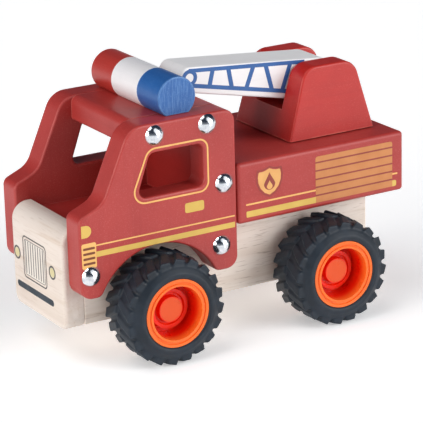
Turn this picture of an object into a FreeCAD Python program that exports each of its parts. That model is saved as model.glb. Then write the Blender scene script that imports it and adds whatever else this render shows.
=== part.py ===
import FreeCAD, Part
import os
import Sketcher
from FreeCAD import Base

# Toy fire engine. Millimetres, +X to the nose, +Y to the vehicle's left, +Z up.
# The origin is on the floor under the middle of the vehicle's length.

DIMENSIONS = [
    # vehicle: lengths from the origin, wheels and boards
    ("nose_front", 91.0), ("bed_back", 91.0), ("tyre_rad", 26.0), ("board", 13.0),
    ("beam_half", 26.0), ("front_set", 17.9), ("rear_set", 20.1), ("tyre_gap", 4.0),
    # chassis beam and nose board
    ("beam_drop", 7.6), ("tail_over", 13.1), ("wood_ease", 1.2), ("joint_ease", 0.5),
    ("nose_deep", 10.5), ("nose_drop", 8.8), ("nose_over", 10.9), ("nose_round", 8.0),
    ("nose_corner", 5.0), ("nose_ease", 2.0),
    # cab: set back from the nose or forward of its own rear edge, heights above the beam
    ("hood_set", 2.8), ("cab_set", 16.6), ("cab_rise", 57.5), ("cab_drop", 20.4),
    ("hood_front", 18.5), ("hood_back", 23.9), ("screen_foot", 12.8), ("screen_head", 27.7),
    ("hood_round", 4.0), ("screen_round", 11.0), ("tail_round", 6.0), ("lobe_round", 6.0),
    ("arch_gap", 7.4), ("arch_sink", 4.2), ("arch_round", 4.0),
    ("roof_deep", 12.0), ("roof_set", 32.1), ("roof_round", 4.0), ("floor_deep", 6.0),
    ("wall_deep", 12.0), ("sill", 22.8), ("lintel", 43.5), ("pane_back", 17.4),
    ("pane_foot", 30.7), ("pane_head", 38.3), ("pane_round", 3.5), ("paint_ease", 1.2),
    # load bed
    ("bed_gap", 0.5), ("bed_rise", 30.0), ("bed_ease", 2.0), ("peg_fore", 15.2),
    ("peg_aft", 15.4),
    # nails, and where each one is
    ("nail_head", 4.9), ("nail_dome", 2.9), ("nail_shank", 1.3), ("nail_bite", 7.0),
    ("nail_1_back", 8.8), ("nail_1_down", 5.8), ("nail_2_on", 14.9), ("nail_2_down", 5.2),
    ("nail_3_on", 6.6), ("nail_3_up", 22.2), ("nail_4_on", 8.8), ("nail_4_down", 8.0),
    ("nail_5_back", 8.2), ("nail_5_down", 9.2),
    # light bar and the pegs that fix it and the bed
    ("bar_set", 26.9), ("bar_rad", 9.9), ("bar_lift", 7.9), ("bar_end", 20.2),
    ("bar_mid", 24.6), ("bar_ease", 0.5), ("peg_rad", 3.0), ("peg_bite", 6.0),
    ("bed_peg_bite", 12.0),
    # turret and the post it turns on
    ("turret_set", 32.2), ("turret_half", 24.4), ("turret_side", 25.0), ("turret_lean", 1.4),
    ("turret_rise", 34.9), ("turret_head", 14.2), ("turret_round", 9.0), ("slot_play", 0.5),
    ("slot_floor", 13.0), ("washer_deep", 0.5), ("washer_rad", 12.0), ("post_rad", 4.0),
    ("post_bite", 18.0), ("post_head", 7.0), ("post_cap", 3.0), ("well_deep", 4.5),
    # ladder
    ("pin_back", 1.0), ("pin_rad", 3.0), ("pin_cover", 4.0), ("pin_sunk", 0.4),
    ("heel_rad", 10.7), ("heel_gap", 0.6), ("ladder_half", 10.8), ("tip_gap", 5.4),
    ("tip_lift", 2.9), ("tip_deep", 12.0), ("tip_round", 4.5), ("ladder_ease", 1.0),
    # hubs
    ("axle_rad", 2.5), ("axle_bite", 17.0), ("hub_play", 0.5), ("rim_rad", 16.5),
    ("flange", 1.8), ("rim_inset", 0.8), ("bead_step", 1.7), ("barrel_wall", 1.9),
    ("groove_out", 1.3), ("groove_in", 2.5), ("groove_deep", 0.6), ("groove_draft", 0.3),
    ("dish_rad", 13.0), ("dish_deep", 11.0), ("dish_draft", 1.2), ("web", 3.0),
    ("boss_rad", 9.6), ("boss_drop", 8.0), ("ledge_rad", 7.4), ("ledge_drop", 9.0),
    ("cap_rad", 6.1), ("cap_drop", 6.5), ("hub_draft", 0.6), ("stub_rad", 6.5),
    # tyres
    ("tyre_play", 3.2), ("tyre_wide", 26.4), ("tyre_lip", 1.0), ("tyre_bulge", 2.8),
    ("wall_fall", 1.4), ("wall_drop", 3.0), ("crown_drop", 0.8), ("shoulder", 5.0),
    ("lug_deep", 1.4), ("lug_wide", 5.6), ("lug_lean", 5.0), ("lug_drop", 1.0),
    ("lug_root", 1.2), ("lug_end", 2.2), ("lug_split", 0.5),
    # clearances
    ("turn_gap", 0.08), ("fit_gap", 0.02), ("rest_gap", 0.05), ("hole_spare", 0.4),
]
LUGS = 20

doc = FreeCAD.newDocument("fire_engine")
sheet = doc.addObject("Spreadsheet::Sheet", "dims")
size = {}
for row, (alias, number) in enumerate(DIMENSIONS, start=1):
    sheet.set("A%d" % row, alias)
    sheet.set("B%d" % row, str(number))
    sheet.setAlias("B%d" % row, alias)
    size[alias] = number
doc.recompute()

parts = []


def formula(spec):
    """A size written in aliases, as an expression on the sheet."""
    return " ".join("dims." + w if w in size else w for w in spec.split())


def value(spec):
    """The same size as a number."""
    words = spec.split()

    def factor():
        word = words.pop(0)
        if word == "-":
            return -factor()
        if word == "(":
            inner = total()
            words.pop(0)
            return inner
        return size[word] if word in size else float(word)

    def product():
        result = factor()
        while words and words[0] in "*/":
            sign = words.pop(0)
            other = factor()
            result = result * other if sign == "*" else result / other
        return result

    def total():
        result = product()
        while words and words[0] in "+-":
            sign = words.pop(0)
            other = product()
            result = result + other if sign == "+" else result - other
        return result

    return total()


def bind(thing, name, spec):
    thing.setExpression(name, formula(spec))


def add(thing, label):
    thing.Label = label
    parts.append(thing)
    return thing


def place(thing, x="0", y="0", z="0", turn=None):
    """Put a piece where it belongs, with its position bound to the sheet."""
    spin = turn if turn else FreeCAD.Rotation()
    thing.Placement = FreeCAD.Placement(Base.Vector(value(x), value(y), value(z)), spin)
    for axis, spec in (("x", x), ("y", y), ("z", z)):
        if spec != "0":
            bind(thing, "Placement.Base." + axis, spec)
    return thing


def new_body(label):
    return add(doc.addObject("PartDesign::Body", label + "_body"), label)


def origin_part(body, role):
    return [o for o in body.Origin.OriginFeatures if o.Role == role][0]


def sketch_on(body, role, name):
    sketch = body.newObject("Sketcher::SketchObject", body.Name + "_" + name)
    sketch.AttachmentSupport = [(origin_part(body, role), "")]
    sketch.MapMode = "FlatFace"
    return sketch


def pin_down(sketch, index, end, spec_x, spec_y):
    """Hold one point of a sketch at coordinates bound to the sheet."""
    for kind, spec, axis in (("DistanceX", spec_x, -2), ("DistanceY", spec_y, -1)):
        number = value(spec)
        if abs(number) < 1e-9:
            sketch.addConstraint(Sketcher.Constraint("PointOnObject", index, end, axis))
            continue
        ends = (-1, 1, index, end) if number > 0 else (index, end, -1, 1)
        where = sketch.addConstraint(Sketcher.Constraint(kind, *ends, abs(number)))
        whole = formula(spec)
        sketch.setExpression("Constraints[%d]" % where,
                             whole if number > 0 else "- ( " + whole + " )")


def outline(sketch, corners):
    """A closed outline of straight lines through corners given as sizes."""
    first = sketch.GeometryCount
    points = [Base.Vector(value(a), value(b), 0) for a, b in corners]
    for start, end in zip(points, points[1:] + points[:1]):
        sketch.addGeometry(Part.LineSegment(start, end), False)
    for k in range(len(points)):
        follow = first + (k + 1) % len(points)
        sketch.addConstraint(Sketcher.Constraint("Coincident", first + k, 2, follow, 1))
    for k, (a, b) in enumerate(corners):
        pin_down(sketch, first + k, 1, a, b)


def ring(sketch, x, y, radius):
    """A circle whose centre and radius are bound to the sheet."""
    middle = Base.Vector(value(x), value(y), 0)
    circle = Part.Circle(middle, Base.Vector(0, 0, 1), value(radius))
    index = sketch.addGeometry(circle, False)
    pin_down(sketch, index, 3, x, y)
    where = sketch.addConstraint(Sketcher.Constraint("Radius", index, value(radius)))
    sketch.setExpression("Constraints[%d]" % where, formula(radius))


def pad(body, sketch, length):
    feature = body.newObject("PartDesign::Pad", body.Name + "_pad")
    feature.Profile = sketch
    feature.Midplane = True
    bind(feature, "Length", length)
    doc.recompute()
    return feature


def pierce(body, sketch):
    """Cut a sketch right through the body, both ways."""
    before = body.Shape.Volume
    feature = body.newObject("PartDesign::Pocket", body.Name + "_pocket")
    feature.Profile = sketch
    feature.Type = 1
    feature.Midplane = True
    doc.recompute()
    if body.Shape.Volume >= before - 1e-6:
        raise RuntimeError(body.Label + ": the pocket removed nothing")
    return feature


def revolve(body, sketch):
    """Turn a sketch of radius and width about the body's Y axis."""
    feature = body.newObject("PartDesign::Revolution", body.Name + "_turn")
    feature.Profile = sketch
    feature.ReferenceAxis = (sketch, ["V_Axis"])
    feature.Angle = 360.0
    doc.recompute()
    return feature


def edges_where(shape, test):
    """Names of the edges whose ends and middle all pass a test."""
    names = []
    for count, edge in enumerate(shape.Edges, start=1):
        middle = edge.valueAt((edge.FirstParameter + edge.LastParameter) / 2)
        if all(test(p) for p in [v.Point for v in edge.Vertexes] + [middle]):
            names.append("Edge%d" % count)
    return names


def round_edges(body, radius, test):
    tip = body.Tip
    names = edges_where(tip.Shape, test)
    if not names:
        raise RuntimeError(body.Label + ": no edge to round")
    feature = body.newObject("PartDesign::Fillet", body.Name + "_round")
    feature.Base = (tip, names)
    bind(feature, "Radius", radius)
    doc.recompute()
    return feature


def near(a, b):
    return abs(a - b) < 1e-4


def across(spots):
    """Test for the edges that run across the vehicle at any of the x, z spots."""
    points = [(value(x), value(z)) for x, z in spots]
    return lambda p: any(near(p.x, x) and near(p.z, z) for x, z in points)


def at_side(y):
    """Test for the edges in the planes y and -y."""
    plane = value(y)
    return lambda p: near(abs(p.y), plane)


def drill(x, y, z, radius, length, axis):
    """A cylinder that starts at x, y, z and runs along an axis."""
    tool = doc.addObject("Part::Cylinder", "drill")
    bind(tool, "Radius", radius)
    bind(tool, "Height", length)
    return place(tool, x, y, z, FreeCAD.Rotation(Base.Vector(0, 0, 1), axis))


def drilled(body, drills):
    """The body with the drills taken out, under the body's label."""
    label = body.Label
    parts.remove(body)
    body.Label = label + "_blank"
    cut = doc.addObject("Part::Cut", label + "_drilled")
    cut.Base = body
    if len(drills) > 1:
        tools = doc.addObject("Part::MultiFuse", label + "_drills")
        tools.Shapes = drills
        cut.Tool = tools
    else:
        cut.Tool = drills[0]
    doc.recompute()
    if cut.Shape.Volume >= body.Shape.Volume - 1e-6:
        raise RuntimeError(label + ": the drills removed nothing")
    return add(cut, label)


def peg(label, x, y, z, radius, length, axis):
    """A plain round peg or pin."""
    piece = add(doc.addObject("Part::Cylinder", label + "_round"), label)
    bind(piece, "Radius", radius)
    bind(piece, "Height", length)
    return place(piece, x, y, z, FreeCAD.Rotation(Base.Vector(0, 0, 1), axis))


UP = Base.Vector(0, 0, 1)
DOWN = Base.Vector(0, 0, -1)
LEFT = Base.Vector(0, 1, 0)
RIGHT = Base.Vector(0, -1, 0)
ABOUT = FreeCAD.Rotation(UP, 180)

# Heights.
BEAM_BASE = "( tyre_rad - beam_drop )"
BED_BASE = "( tyre_rad * 2 + tyre_gap )"
BED_TOP = "( " + BED_BASE + " + bed_rise )"
FLOOR_TOP = BED_BASE + " + floor_deep"
CAB_TOP = "( " + BED_BASE + " + cab_rise )"
CAB_FOOT = BED_BASE + " - cab_drop"
ROOF_BASE = CAB_TOP + " - roof_deep"
NOSE_BASE = "( tyre_rad - nose_drop )"
NOSE_TOP = "( " + BED_BASE + " + nose_over )"
TURRET_BASE = "( " + BED_TOP + " + washer_deep + rest_gap )"
PIN_RISE = "( slot_floor + heel_gap + heel_rad )"
PIN_Z = "( " + TURRET_BASE + " + " + PIN_RISE + " )"

# Lengthwise places.
FRONT_AXLE = "( nose_front - tyre_rad - front_set )"
REAR_AXLE = "( tyre_rad + rear_set - bed_back )"
BEAM_BACK = "( tail_over - bed_back )"
NOSE_BACK = "( nose_front - nose_deep )"
CAB_FRONT = "( nose_front - hood_set )"
CAB_BACK = "( " + FRONT_AXLE + " - tyre_rad - cab_set )"
ROOF_FRONT = "( " + CAB_FRONT + " - roof_set )"
SCREEN_FOOT = (CAB_FRONT + " - screen_foot", BED_BASE + " + hood_back")
SCREEN_HEAD = (CAB_FRONT + " - screen_head", CAB_TOP)
BED_FRONT = CAB_BACK + " - bed_gap"
TURRET_X = "( turret_set - bed_back )"
PIN_X = "( " + TURRET_X + " - pin_back )"
BAR_X = "( " + CAB_BACK + " + bar_set )"

# Places across.
CAB_SIDE = "( beam_half + board )"
HUB_IN = "( beam_half + hub_play )"
TYRE_IN = "( beam_half + tyre_play )"
TYRE_OUT = "( " + TYRE_IN + " + tyre_wide )"
HUB_OUT = "( " + TYRE_OUT + " - rim_inset )"
SLOT_HALF = "( ladder_half + slot_play )"

# Nails through each cab side at x, z: two into the roof board, one each into the rear
# wall, the chassis beam and the nose board.
NAILS = [
    (ROOF_FRONT + " - nail_1_back", CAB_TOP + " - nail_1_down"),
    (CAB_BACK + " + nail_2_on", CAB_TOP + " - nail_2_down"),
    (CAB_BACK + " + nail_3_on", BED_BASE + " + nail_3_up"),
    (CAB_BACK + " + nail_4_on", BED_BASE + " - nail_4_down"),
    ("nose_front - nail_5_back", BED_BASE + " - nail_5_down"),
]


def nail_holes(numbers):
    """Holes in a piece between the cab sides for the nails that reach it."""
    holes = []
    for x, z in [NAILS[n] for n in numbers]:
        for side, inward in (("beam_half", RIGHT), ("- beam_half", LEFT)):
            holes.append(drill(x, side, z, "nail_shank + fit_gap",
                               "nail_bite + hole_spare", inward))
    return holes


# Chassis beam, with bores for both axles and holes for nails and bed pegs.
BED_PEGS = (CAB_BACK + " - peg_fore", TURRET_X + " + peg_aft")
beam = new_body("chassis_beam")
side = sketch_on(beam, "XZ_Plane", "side")
outline(side, [(BEAM_BACK, BEAM_BASE), (NOSE_BACK, BEAM_BASE), (NOSE_BACK, BED_BASE),
               (BEAM_BACK, BED_BASE)])
pad(beam, side, "beam_half * 2")
axles = sketch_on(beam, "XZ_Plane", "axles")
ring(axles, FRONT_AXLE, "tyre_rad", "axle_rad + turn_gap")
ring(axles, REAR_AXLE, "tyre_rad", "axle_rad + turn_gap")
pierce(beam, axles)
round_edges(beam, "wood_ease", lambda p: near(abs(p.y), size["beam_half"])
            and near(p.z, value(BEAM_BASE)) or near(p.x, value(BEAM_BACK)))
round_edges(beam, "joint_ease", lambda p: near(abs(p.y), size["beam_half"])
            and near(p.x, value(NOSE_BACK)))
drilled(beam, nail_holes([3]) + [
    drill(x, "0", BED_BASE, "peg_rad + fit_gap", "bed_peg_bite + hole_spare", DOWN)
    for x in BED_PEGS])

# Nose board: its top front edge is a quarter round.
nose = new_body("nose_board")
side = sketch_on(nose, "XZ_Plane", "side")
outline(side, [(NOSE_BACK, NOSE_BASE), ("nose_front", NOSE_BASE), ("nose_front", NOSE_TOP),
               (NOSE_BACK, NOSE_TOP)])
pad(nose, side, "beam_half * 2")
round_edges(nose, "nose_round", across([("nose_front", NOSE_TOP)]))
round_edges(nose, "nose_corner", lambda p: near(abs(p.y), size["beam_half"])
            and near(p.z, value(NOSE_BASE)))
round_edges(nose, "nose_ease", lambda p: near(p.x, size["nose_front"])
            and p.z < value(NOSE_TOP + " - nose_round - 1"))
round_edges(nose, "joint_ease", lambda p: near(p.x, value(NOSE_BACK))
            and p.z < value(NOSE_TOP + " - 1"))
drilled(nose, nail_holes([4]))


def cab_side(label, side_y):
    """One cab side board: outline, wheel arch, window and nail holes."""
    body = new_body(label)
    side = sketch_on(body, "XZ_Plane", "side")
    outline(side, [
        (CAB_BACK, CAB_FOOT), (CAB_FRONT, CAB_FOOT), (CAB_FRONT, BED_BASE + " + hood_front"),
        SCREEN_FOOT, SCREEN_HEAD, (CAB_BACK, CAB_TOP)])
    pad(body, side, "board")
    arch = sketch_on(body, "XZ_Plane", "arch")
    ring(arch, FRONT_AXLE, "tyre_rad - arch_sink", "tyre_rad + arch_gap")
    pierce(body, arch)
    pane = sketch_on(body, "XZ_Plane", "pane")
    corners = [(CAB_BACK + " + pane_back", BED_BASE + " + sill"),
               (CAB_FRONT + " - pane_foot", BED_BASE + " + sill"),
               (CAB_FRONT + " - pane_head", BED_BASE + " + lintel"),
               (CAB_BACK + " + pane_back", BED_BASE + " + lintel")]
    outline(pane, corners)
    pierce(body, pane)
    round_edges(body, "pane_round", across(corners))
    round_edges(body, "screen_round", across([SCREEN_FOOT, SCREEN_HEAD]))
    round_edges(body, "hood_round", across([(CAB_FRONT, BED_BASE + " + hood_front")]))
    round_edges(body, "tail_round", across([(CAB_BACK, CAB_TOP)]))
    round_edges(body, "lobe_round", across([(CAB_BACK, CAB_FOOT), (CAB_FRONT, CAB_FOOT)]))
    rise = value(CAB_FOOT + " - ( tyre_rad - arch_sink )")
    reach = (value("tyre_rad + arch_gap") ** 2 - rise ** 2) ** 0.5
    round_edges(body, "arch_round", lambda p: near(p.z, value(CAB_FOOT))
                and near(abs(p.x - value(FRONT_AXLE)), reach))
    round_edges(body, "paint_ease", at_side("board / 2"))
    place(body, "0", side_y)
    outer = CAB_SIDE if value(side_y) > 0 else "- " + CAB_SIDE
    inward = RIGHT if value(side_y) > 0 else LEFT
    drilled(body, [drill(x, outer, z, "nail_shank + fit_gap", "board", inward)
                   for x, z in NAILS])


cab_side("cab_side_left", "beam_half + board / 2")
cab_side("cab_side_right", "- ( beam_half + board / 2 )")

# Roof board, cab floor and rear wall, all as wide as the beam.
roof = new_body("cab_roof")
side = sketch_on(roof, "XZ_Plane", "side")
outline(side, [(CAB_BACK, ROOF_BASE), (ROOF_FRONT, ROOF_BASE), (ROOF_FRONT, CAB_TOP),
               (CAB_BACK, CAB_TOP)])
pad(roof, side, "beam_half * 2")
round_edges(roof, "roof_round", across([(ROOF_FRONT, CAB_TOP)]))
round_edges(roof, "tail_round", across([(CAB_BACK, CAB_TOP)]))
round_edges(roof, "paint_ease", across([(ROOF_FRONT, ROOF_BASE)]))
BAR_SEGMENTS = [
    ("light_bar_left", "bar_end", "( bar_mid + bar_end ) / 2"),
    ("light_bar_middle", "bar_mid", "0"),
    ("light_bar_right", "bar_end", "- ( bar_mid + bar_end ) / 2"),
]
drilled(roof, nail_holes([0, 1]) + [
    drill(BAR_X, y, CAB_TOP, "peg_rad + fit_gap", "peg_bite + hole_spare", DOWN)
    for _, _, y in BAR_SEGMENTS])

floor = new_body("cab_floor")
side = sketch_on(floor, "XZ_Plane", "side")
outline(side, [(CAB_BACK, BED_BASE), (NOSE_BACK, BED_BASE), (NOSE_BACK, FLOOR_TOP),
               (CAB_BACK, FLOOR_TOP)])
pad(floor, side, "beam_half * 2")

wall = new_body("cab_rear_wall")
side = sketch_on(wall, "XZ_Plane", "side")
outline(side, [(CAB_BACK, FLOOR_TOP), (CAB_BACK + " + wall_deep", FLOOR_TOP),
               (CAB_BACK + " + wall_deep", ROOF_BASE), (CAB_BACK, ROOF_BASE)])
pad(wall, side, "beam_half * 2")
drilled(wall, nail_holes([2]))

# Domed nails.
for number, (x, z) in enumerate(NAILS, start=1):
    for name, outer, inward in (("left", CAB_SIDE, RIGHT), ("right", "- " + CAB_SIDE, LEFT)):
        label = "nail_%s_%d" % (name, number)
        turn = FreeCAD.Rotation(UP, inward.negative())
        ball = doc.addObject("Part::Sphere", label + "_ball")
        curve = "( nail_head * nail_head + nail_dome * nail_dome ) / ( 2 * nail_dome )"
        bind(ball, "Radius", curve)
        place(ball, "0", "0", "nail_dome - " + curve)
        cap = doc.addObject("Part::Cylinder", label + "_cap")
        bind(cap, "Radius", "nail_head")
        bind(cap, "Height", "nail_dome")
        dome = doc.addObject("Part::Common", label + "_dome")
        dome.Base = ball
        dome.Tool = cap
        shank = doc.addObject("Part::Cylinder", label + "_shank")
        bind(shank, "Radius", "nail_shank")
        bind(shank, "Height", "board + nail_bite")
        place(shank, "0", "0", "- ( board + nail_bite )")
        nail = add(doc.addObject("Part::Fuse", label + "_nail"), label)
        nail.Base = dome
        nail.Tool = shank
        place(nail, x, outer, z, turn)

# Load bed: a solid block pegged to the beam; the turret's post stands in it.
bed = new_body("bed_block")
side = sketch_on(bed, "XZ_Plane", "side")
outline(side, [("- bed_back", BED_BASE), (BED_FRONT, BED_BASE), (BED_FRONT, BED_TOP),
               ("- bed_back", BED_TOP)])
pad(bed, side, CAB_SIDE + " * 2")
round_edges(bed, "bed_ease", lambda p: near(abs(p.y), value(CAB_SIDE))
            or near(p.x, -size["bed_back"]) or near(p.x, value(BED_FRONT)))
drilled(bed, [drill(x, "0", BED_BASE, "peg_rad + fit_gap", "bed_peg_bite + hole_spare", UP)
              for x in BED_PEGS]
        + [drill(TURRET_X, "0", BED_TOP, "post_rad + fit_gap", "post_bite + hole_spare",
                 DOWN)])
for number, x in enumerate(BED_PEGS, start=1):
    peg("bed_peg_%d" % number, x, "0", BED_BASE + " - bed_peg_bite", "peg_rad",
        "bed_peg_bite * 2", UP)

# Light bar: three lengths of one dowel, flat underneath, each pegged to the roof.
for label, length, y in BAR_SEGMENTS:
    bar = new_body(label)
    section = sketch_on(bar, "XZ_Plane", "section")
    ring(section, "0", "0", "bar_rad")
    pad(bar, section, length)
    flat = sketch_on(bar, "XZ_Plane", "flat")
    outline(flat, [("- bar_rad - 1", "- bar_rad - 1"), ("bar_rad + 1", "- bar_rad - 1"),
                   ("bar_rad + 1", "- bar_lift"), ("- bar_rad - 1", "- bar_lift")])
    pierce(bar, flat)
    if y != "0":
        outside = value(length + " / 2") * (1 if value(y) > 0 else -1)
        round_edges(bar, "bar_ease", lambda p: near(p.y, outside))
    place(bar, BAR_X, y, CAB_TOP + " + bar_lift")
    drilled(bar, [drill(BAR_X, y, CAB_TOP, "peg_rad + fit_gap", "peg_bite + hole_spare", UP)])
    peg(label.replace("light_bar", "bar_peg"), BAR_X, y, CAB_TOP + " - peg_bite", "peg_rad",
        "peg_bite * 2", UP)

# Turret: a block that tapers all round, with a slot along it for the ladder.
turret = new_body("turret")
side = sketch_on(turret, "XZ_Plane", "side")
outline(side, [("- turret_half", "0"), ("turret_half", "0"), ("turret_head", "turret_rise"),
               ("- turret_head", "turret_rise")])
pad(turret, side, "turret_side * 2")
round_edges(turret, "turret_round", across([("turret_head", "turret_rise"),
                                            ("- turret_head", "turret_rise")]))
lean = sketch_on(turret, "YZ_Plane", "lean")
for sign in ("", "- "):
    outline(lean, [(sign + "turret_side", "0"), (sign + "( turret_side + 1 )", "0"),
                   (sign + "( turret_side + 1 )", "turret_rise * 2"),
                   (sign + "( turret_side - turret_lean * 2 )", "turret_rise * 2")])
pierce(turret, lean)
slot = sketch_on(turret, "YZ_Plane", "slot")
outline(slot, [("- " + SLOT_HALF, "slot_floor"), (SLOT_HALF, "slot_floor"),
               (SLOT_HALF, "turret_rise * 2"), ("- " + SLOT_HALF, "turret_rise * 2")])
pierce(turret, slot)


def on_cheek(p):
    """True for a point of the turret's outer or slot faces, clear of its foot and floor."""
    side_here = size["turret_side"] - size["turret_lean"] * p.z / size["turret_rise"]
    outer = near(abs(p.y), side_here) and p.z > 0.01
    return outer or near(abs(p.y), value(SLOT_HALF)) and p.z > size["slot_floor"] + 3


round_edges(turret, "paint_ease", on_cheek)
place(turret, TURRET_X, "0", TURRET_BASE)
PIN_SIDE = "( turret_side - turret_lean * " + PIN_RISE + " / turret_rise )"
drilled(turret, [
    drill(TURRET_X, "0", TURRET_BASE, "post_rad + turn_gap", "slot_floor", UP),
    drill(TURRET_X, "0", TURRET_BASE + " + slot_floor", "post_head + hole_spare",
          "well_deep", DOWN),
    drill(PIN_X, PIN_SIDE + " - pin_cover", PIN_Z, "pin_rad + fit_gap",
          "turret_side * 2", RIGHT)])

# Post: turned with a head that sits in the turret's well; its foot is fast in the bed.
post = new_body("turret_post")
section = sketch_on(post, "XY_Plane", "section")
HEAD_BASE = "washer_deep + rest_gap + slot_floor - well_deep + rest_gap"
outline(section, [("0", "- post_bite"), ("post_rad", "- post_bite"),
                  ("post_rad", HEAD_BASE), ("post_head", HEAD_BASE),
                  ("post_head", HEAD_BASE + " + post_cap"), ("0", HEAD_BASE + " + post_cap")])
revolve(post, section)
round_edges(post, "bar_ease", lambda p: near(p.y, value(HEAD_BASE + " + post_cap")))
place(post, TURRET_X, "0", BED_TOP, FreeCAD.Rotation(LEFT, UP))

washer = add(doc.addObject("Part::Cut", "turret_washer_cut"), "turret_washer")
disc = doc.addObject("Part::Cylinder", "washer_disc")
bind(disc, "Radius", "washer_rad")
bind(disc, "Height", "washer_deep")
hole = doc.addObject("Part::Cylinder", "washer_hole")
bind(hole, "Radius", "post_rad + fit_gap")
bind(hole, "Height", "washer_deep")
washer.Base = disc
washer.Tool = hole
place(washer, TURRET_X, "0", BED_TOP)

# Ladder: one tapered beam with a round heel about the pin. Its tip stands just behind
# the light bar and above the roof.
TIP = "( " + BAR_X + " - bar_rad - tip_gap - " + PIN_X + " )"
TIP_LOW = "( " + CAB_TOP + " + tip_lift - " + PIN_Z + " )"
TIP_HIGH = "( " + TIP_LOW + " + tip_deep )"
ladder = new_body("ladder")
side = sketch_on(ladder, "XZ_Plane", "side")
outline(side, [("- heel_rad * 0.08", "heel_rad * 0.99"), ("heel_rad * 0.19", "- heel_rad * 0.97"),
               (TIP, TIP_LOW), (TIP, TIP_HIGH)])
pad(ladder, side, "ladder_half * 2")
round_edges(ladder, "tip_round", across([(TIP, TIP_LOW), (TIP, TIP_HIGH)]))
heel = sketch_on(ladder, "XZ_Plane", "heel")
ring(heel, "0", "0", "heel_rad")
pad(ladder, heel, "ladder_half * 2")
eye = sketch_on(ladder, "XZ_Plane", "eye")
ring(eye, "0", "0", "pin_rad + turn_gap")
pierce(ladder, eye)
round_edges(ladder, "ladder_ease", lambda p: near(abs(p.y), size["ladder_half"])
            and p.x ** 2 + p.z ** 2 > value("pin_rad + 1") ** 2)
place(ladder, PIN_X, "0", PIN_Z)
peg("ladder_pin", PIN_X, PIN_SIDE + " - pin_cover - hole_spare", PIN_Z, "pin_rad",
    PIN_SIDE + " * 2 - pin_cover - hole_spare - pin_sunk", RIGHT)

# Wheels. Radius along the sketch's X, width outward along its Y.
BEAD = "rim_rad - bead_step"
BEAD_IN = TYRE_IN + " + rim_inset"
DISH = HUB_OUT + " - dish_deep"
HUB_SECTION = [
    ("axle_rad + fit_gap", HUB_IN), ("stub_rad", HUB_IN), ("stub_rad", DISH + " - web"),
    (BEAD + " - barrel_wall", DISH + " - web"), (BEAD + " - barrel_wall", BEAD_IN),
    ("rim_rad", BEAD_IN), ("rim_rad", BEAD_IN + " + flange"), (BEAD, BEAD_IN + " + flange"),
    (BEAD, HUB_OUT + " - flange"), ("rim_rad", HUB_OUT + " - flange"), ("rim_rad", HUB_OUT),
    ("rim_rad - groove_out", HUB_OUT),
    ("rim_rad - groove_out - groove_draft", HUB_OUT + " - groove_deep"),
    ("rim_rad - groove_in + groove_draft", HUB_OUT + " - groove_deep"),
    ("rim_rad - groove_in", HUB_OUT), ("dish_rad", HUB_OUT),
    ("dish_rad - dish_draft", DISH), ("boss_rad + hub_draft", DISH),
    ("boss_rad", HUB_OUT + " - boss_drop"), ("ledge_rad + hub_draft", HUB_OUT + " - boss_drop"),
    ("ledge_rad", HUB_OUT + " - ledge_drop"), ("cap_rad + hub_draft", HUB_OUT + " - ledge_drop"),
    ("cap_rad", HUB_OUT + " - cap_drop"), ("0", HUB_OUT + " - cap_drop"),
    ("0", HUB_IN + " + axle_bite + hole_spare"),
    ("axle_rad + fit_gap", HUB_IN + " + axle_bite + hole_spare"),
]
TYRE_MIDDLE = "( " + TYRE_IN + " + tyre_wide / 2 )"
TREAD = "tyre_rad - lug_deep"
SEAT = BEAD + " + fit_gap"
LIP = "rim_rad + fit_gap"
TYRE_SECTION = [
    (SEAT, BEAD_IN + " + flange + fit_gap"), (LIP, BEAD_IN + " + flange + fit_gap"),
    (LIP, BEAD_IN + " - fit_gap"), ("rim_rad + tyre_lip", TYRE_IN + " + fit_gap"),
    ("rim_rad + tyre_bulge", TYRE_IN), (TREAD + " - wall_drop", TYRE_IN + " + wall_fall"),
    (TREAD + " - crown_drop", TYRE_IN + " + 0.7 * shoulder"),
    (TREAD, TYRE_IN + " + 1.3 * shoulder"), (TREAD, TYRE_OUT + " - 1.3 * shoulder"),
    (TREAD + " - crown_drop", TYRE_OUT + " - 0.7 * shoulder"),
    (TREAD + " - wall_drop", TYRE_OUT + " - wall_fall"), ("rim_rad + tyre_bulge", TYRE_OUT),
    ("rim_rad + tyre_lip", TYRE_OUT + " - fit_gap"), (LIP, HUB_OUT + " + fit_gap"),
    (LIP, HUB_OUT + " - flange - fit_gap"), (SEAT, HUB_OUT + " - flange - fit_gap"),
]


def lug_sketch(body, name, y, middle, low, high, half, turn):
    """One end of a tread lug, at width y, its sides spread about its middle."""
    sketch = sketch_on(body, "XZ_Plane", name)
    sketch.AttachmentOffset = FreeCAD.Placement(
        Base.Vector(0, 0, -value(y)), FreeCAD.Rotation(UP, turn))
    bind(sketch, "AttachmentOffset.Base.z", "- ( " + y + " )")
    outline(sketch, [(middle + " - " + half, low), (middle + " + " + half, low),
                     (middle + " + " + half + " * 0.8", high),
                     (middle + " - " + half + " * 0.8", high)])
    return sketch


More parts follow.
